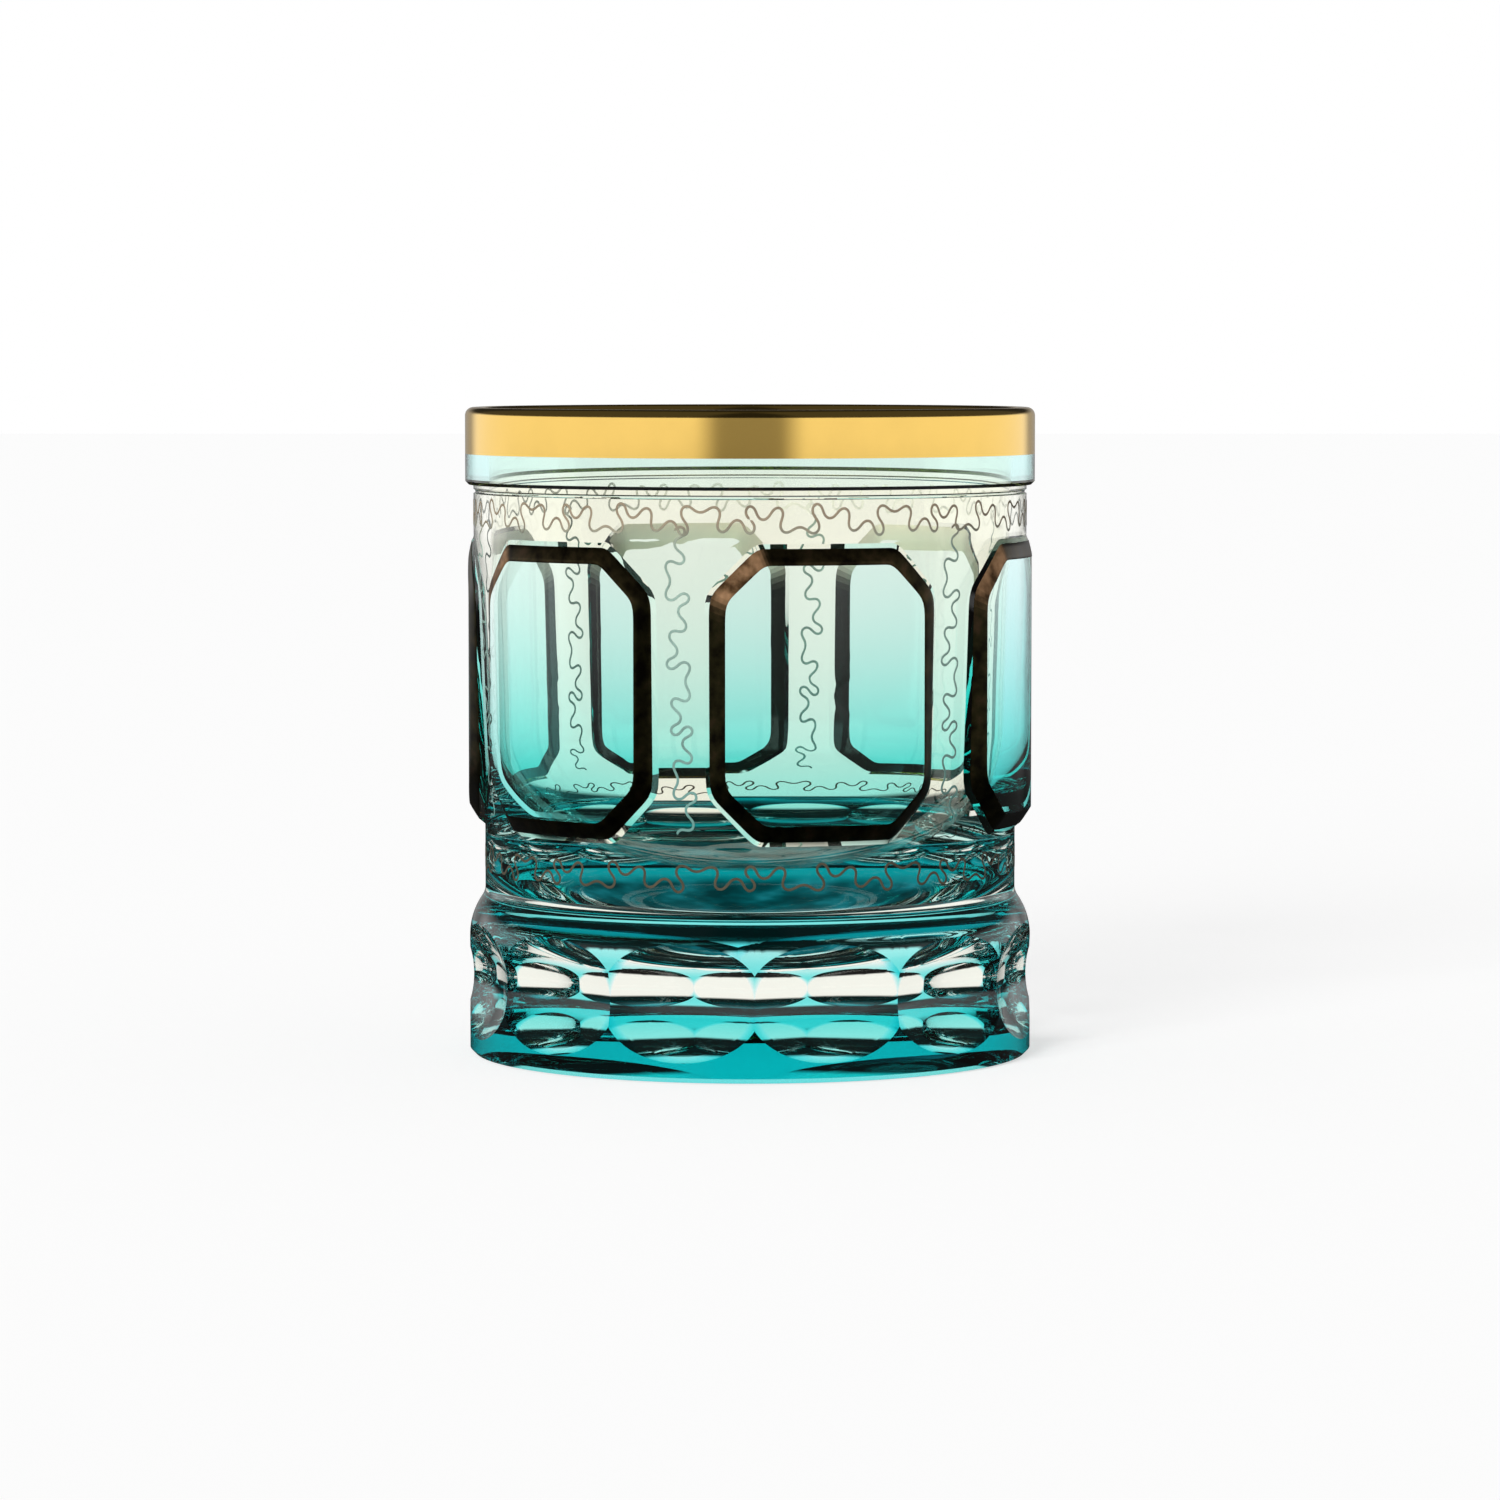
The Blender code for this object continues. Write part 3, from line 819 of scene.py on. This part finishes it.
SPOT_RIM = (0.031, 0.037)
SPOT_EDGE = 0.0405
RING_TONES = ((0.62, (0.002, 0.010, 0.010)), (0.70, WHITE))
FRONT = (-0.04, -0.10)
FLOOR_HALF = 6.0
FLOOR_DROP = 0.0001
LOWEST = -40.0
HIGHEST = 60.0
LAMP_STRENGTH = 3.2
LAMP_SPREAD = 25.0
LAMP_TILT = 70.0
LAMP_TURN = -25.0
CAMERA_BACK = 0.85
CAMERA_HEIGHT = 0.104
AIM_HEIGHT = 0.0444
HALF_VIEW = 0.11055


def pale_floor():
    """Floor that is white to the camera and takes a soft shadow.

    Through glass it is white too, but for three places. The spot that the foot covers is lit
    through the casing: a mottled teal with a lighter rim. A ring round the foot lies in its
    shadow. The floor in front is dark to light that was reflected on the way.
    """
    mat, tree = new_material("pale_floor")
    at = tree.place()
    far = tree.node("ShaderNodeVectorMath", {"operation": "LENGTH"}, {0: at}, out="Value")
    mottled = tree.ramp(
        tree.cloud(at, 90.0, 3.0),
        (0.36, (0.0, 0.036, 0.042)), (0.50, (0.0, 0.085, 0.10)), (0.68, (0.01, 0.22, 0.27)))
    spot = tree.mix(tree.slope(far, *SPOT_RIM), mottled, (0.0, 0.32, 0.36))
    around = tree.ramp(10.0 * far, *RING_TONES)
    covered = tree.mix(tree.calc("GREATER_THAN", far, SPOT_EDGE), spot, around)
    ahead = tree.slope(tree.part(at, "Y"), *FRONT)
    covered = tree.mix(ahead * tree.ray("Glossy Depth"), covered, UNLIT)
    paper = tree.node("ShaderNodeBsdfDiffuse", None, {"Color": 0.6})
    glow = tree.node("ShaderNodeEmission", None, {"Color": WHITE, "Strength": 0.60})
    lit = tree.node("ShaderNodeAddShader", None, {0: paper, 1: glow})
    seen = tree.node("ShaderNodeEmission", None, {"Color": covered, "Strength": 1.0})
    direct = tree.blend(tree.ray("Is Camera Ray"), paper, lit)
    both = tree.blend(tree.ray("Is Transmission Ray"), direct, seen)
    tree.node("ShaderNodeOutputMaterial", None, {"Surface": both})
    return mat


def ramp_place(degrees):
    """Place on a ramp from the lowest to the highest elevation, for a number or a shader value."""
    return (degrees - LOWEST) * (1.0 / (HIGHEST - LOWEST))


def by_elevation(*stops):
    """Ramp stops from elevations in degrees, each with its level."""
    return [(ramp_place(degrees), level) for degrees, level in stops]


def studio():
    """White to the camera; to glass white below a dark upper room; to mirrors a pale low strip.

    Straight ahead and straight behind, the strip that mirrors see is darker. Light that was
    reflected on its way through glass, and leaves low to the front, meets an unlit studio.
    """
    world = bpy.data.worlds.new("studio")
    bpy.context.scene.world = world
    tree = Tree(world)
    way = tree.node("ShaderNodeTexCoord", out="Generated")
    east, north, up = [tree.part(way, axis) for axis in "XYZ"]
    elevation = tree.calc("ARCSINE", up) * (180.0 / math.pi)
    height = ramp_place(elevation)
    room = tree.ramp(height, *by_elevation((LOWEST, 1.0), (15.0, 1.0), (18.0, 0.01), (HIGHEST, 0.01)))
    ahead = tree.slope(elevation, 3.0, 1.0) * tree.slope(north, 0.2, -0.2)
    through = tree.mix(ahead * tree.ray("Glossy Depth"), room, UNLIT)
    azimuth = tree.calc("ARCTAN2", east, 0.0 - north)
    off_front = tree.calc("ABSOLUTE", azimuth) * (1.0 / math.pi)
    walls = tree.ramp(off_front, (0.07, 0.30), (0.12, 1.0), (0.80, 1.0), (0.85, 0.35))
    strip = tree.ramp(height, *by_elevation((-4.5, 0.06), (-2.2, 1.0), (6.0, 1.0), (13.0, 0.06)))
    mirrored = tree.mix(1.0, walls, strip, "MULTIPLY")
    shown = tree.mix(tree.ray("Is Glossy Ray"), (0.27, 0.27, 0.27), mirrored)
    shown = tree.mix(tree.ray("Is Transmission Ray"), shown, through)
    shown = tree.mix(tree.ray("Is Camera Ray"), shown, WHITE)
    light = tree.node("ShaderNodeBackground", None, {"Color": shown, "Strength": 1.0})
    tree.node("ShaderNodeOutputWorld", None, {"Surface": light})


def floor():
    """Flat sheet just under the glass, left out of mirror reflections."""
    mesh = bpy.data.meshes.new("floor")
    corners = np.array([(-1.0, -1.0), (1.0, -1.0), (1.0, 1.0), (-1.0, 1.0)]) * FLOOR_HALF
    mesh.from_pydata(np.insert(corners, 2, -FLOOR_DROP, axis=1), [], [(0, 1, 2, 3)])
    mesh.materials.append(pale_floor())
    made = bpy.data.objects.new("floor", mesh)
    bpy.context.scene.collection.objects.link(made)
    made.visible_glossy = False


def key_light():
    """Soft lamp from the front left, which lights paint and gilding and isn't seen in the glass."""
    data = bpy.data.lights.new("key_light", "SUN")
    data.energy = LAMP_STRENGTH
    data.angle = math.radians(LAMP_SPREAD)
    made = bpy.data.objects.new("key_light", data)
    made.rotation_euler = (math.radians(LAMP_TILT), 0.0, math.radians(LAMP_TURN))
    made.visible_glossy = False
    made.visible_transmission = False
    bpy.context.scene.collection.objects.link(made)


def camera():
    """Camera in front of the glass, a little above it, looking slightly down."""
    data = bpy.data.cameras.new("camera")
    data.angle = 2 * math.atan(HALF_VIEW / CAMERA_BACK)
    data.clip_start = 0.01
    made = bpy.data.objects.new("camera", data)
    made.location = (0.0, -CAMERA_BACK, CAMERA_HEIGHT)
    down = math.atan2(CAMERA_HEIGHT - AIM_HEIGHT, CAMERA_BACK)
    made.rotation_euler = (math.pi / 2 - down, 0.0, 0.0)
    bpy.context.scene.collection.objects.link(made)
    bpy.context.scene.camera = made


def tumbler():
    """Every piece of the glass, with its material."""
    clear = glass("clear_crystal", (0.994, 0.998, 0.908))
    casing = glass("turquoise_casing", WHITE, (0.0, 0.892, 0.874), 4000.0)
    deep = glass("deep_turquoise_casing", WHITE, (0.0, 0.885, 0.895), 2800.0)
    mint = glass("mint_casing", WHITE, (0.0, 0.95, 0.9), 110.0)
    gilding = fired_gilding()
    piece("crystal_body", core_patches(), clear, ["crystal_core"], shades=False)
    piece("casing_dish", foot_patches(), deep, ["foot_casing"])
    piece("casing_ring", ring_patches(), mint, ["rim_ring"], shades=False)
    piece("gold_lip", gold_patches(), polished_gold(), ["rim_gilding"])
    for number in range(PANELS):
        name = str(number + 1)
        piece("casing_panel_" + name, panel_casing(number), casing,
              ["panel_" + name], shades=False)
        piece("gilt_frame_" + name, panel_frame(number), gilding,
              ["panel_gilding_" + name], crease=GILT_CREASE)
    piece("meander_lines", meander_patches(), fired_line())


def render_settings():
    """Plain view transform, and bounces enough for light to cross every layer of glass."""
    scene = bpy.context.scene
    scene.view_settings.view_transform = "Standard"
    scene.cycles.max_bounces = 24
    scene.cycles.transmission_bounces = 24
    scene.cycles.glossy_bounces = 8
    scene.cycles.transparent_max_bounces = 64


tumbler()
floor()
studio()
key_light()
camera()
render_settings()
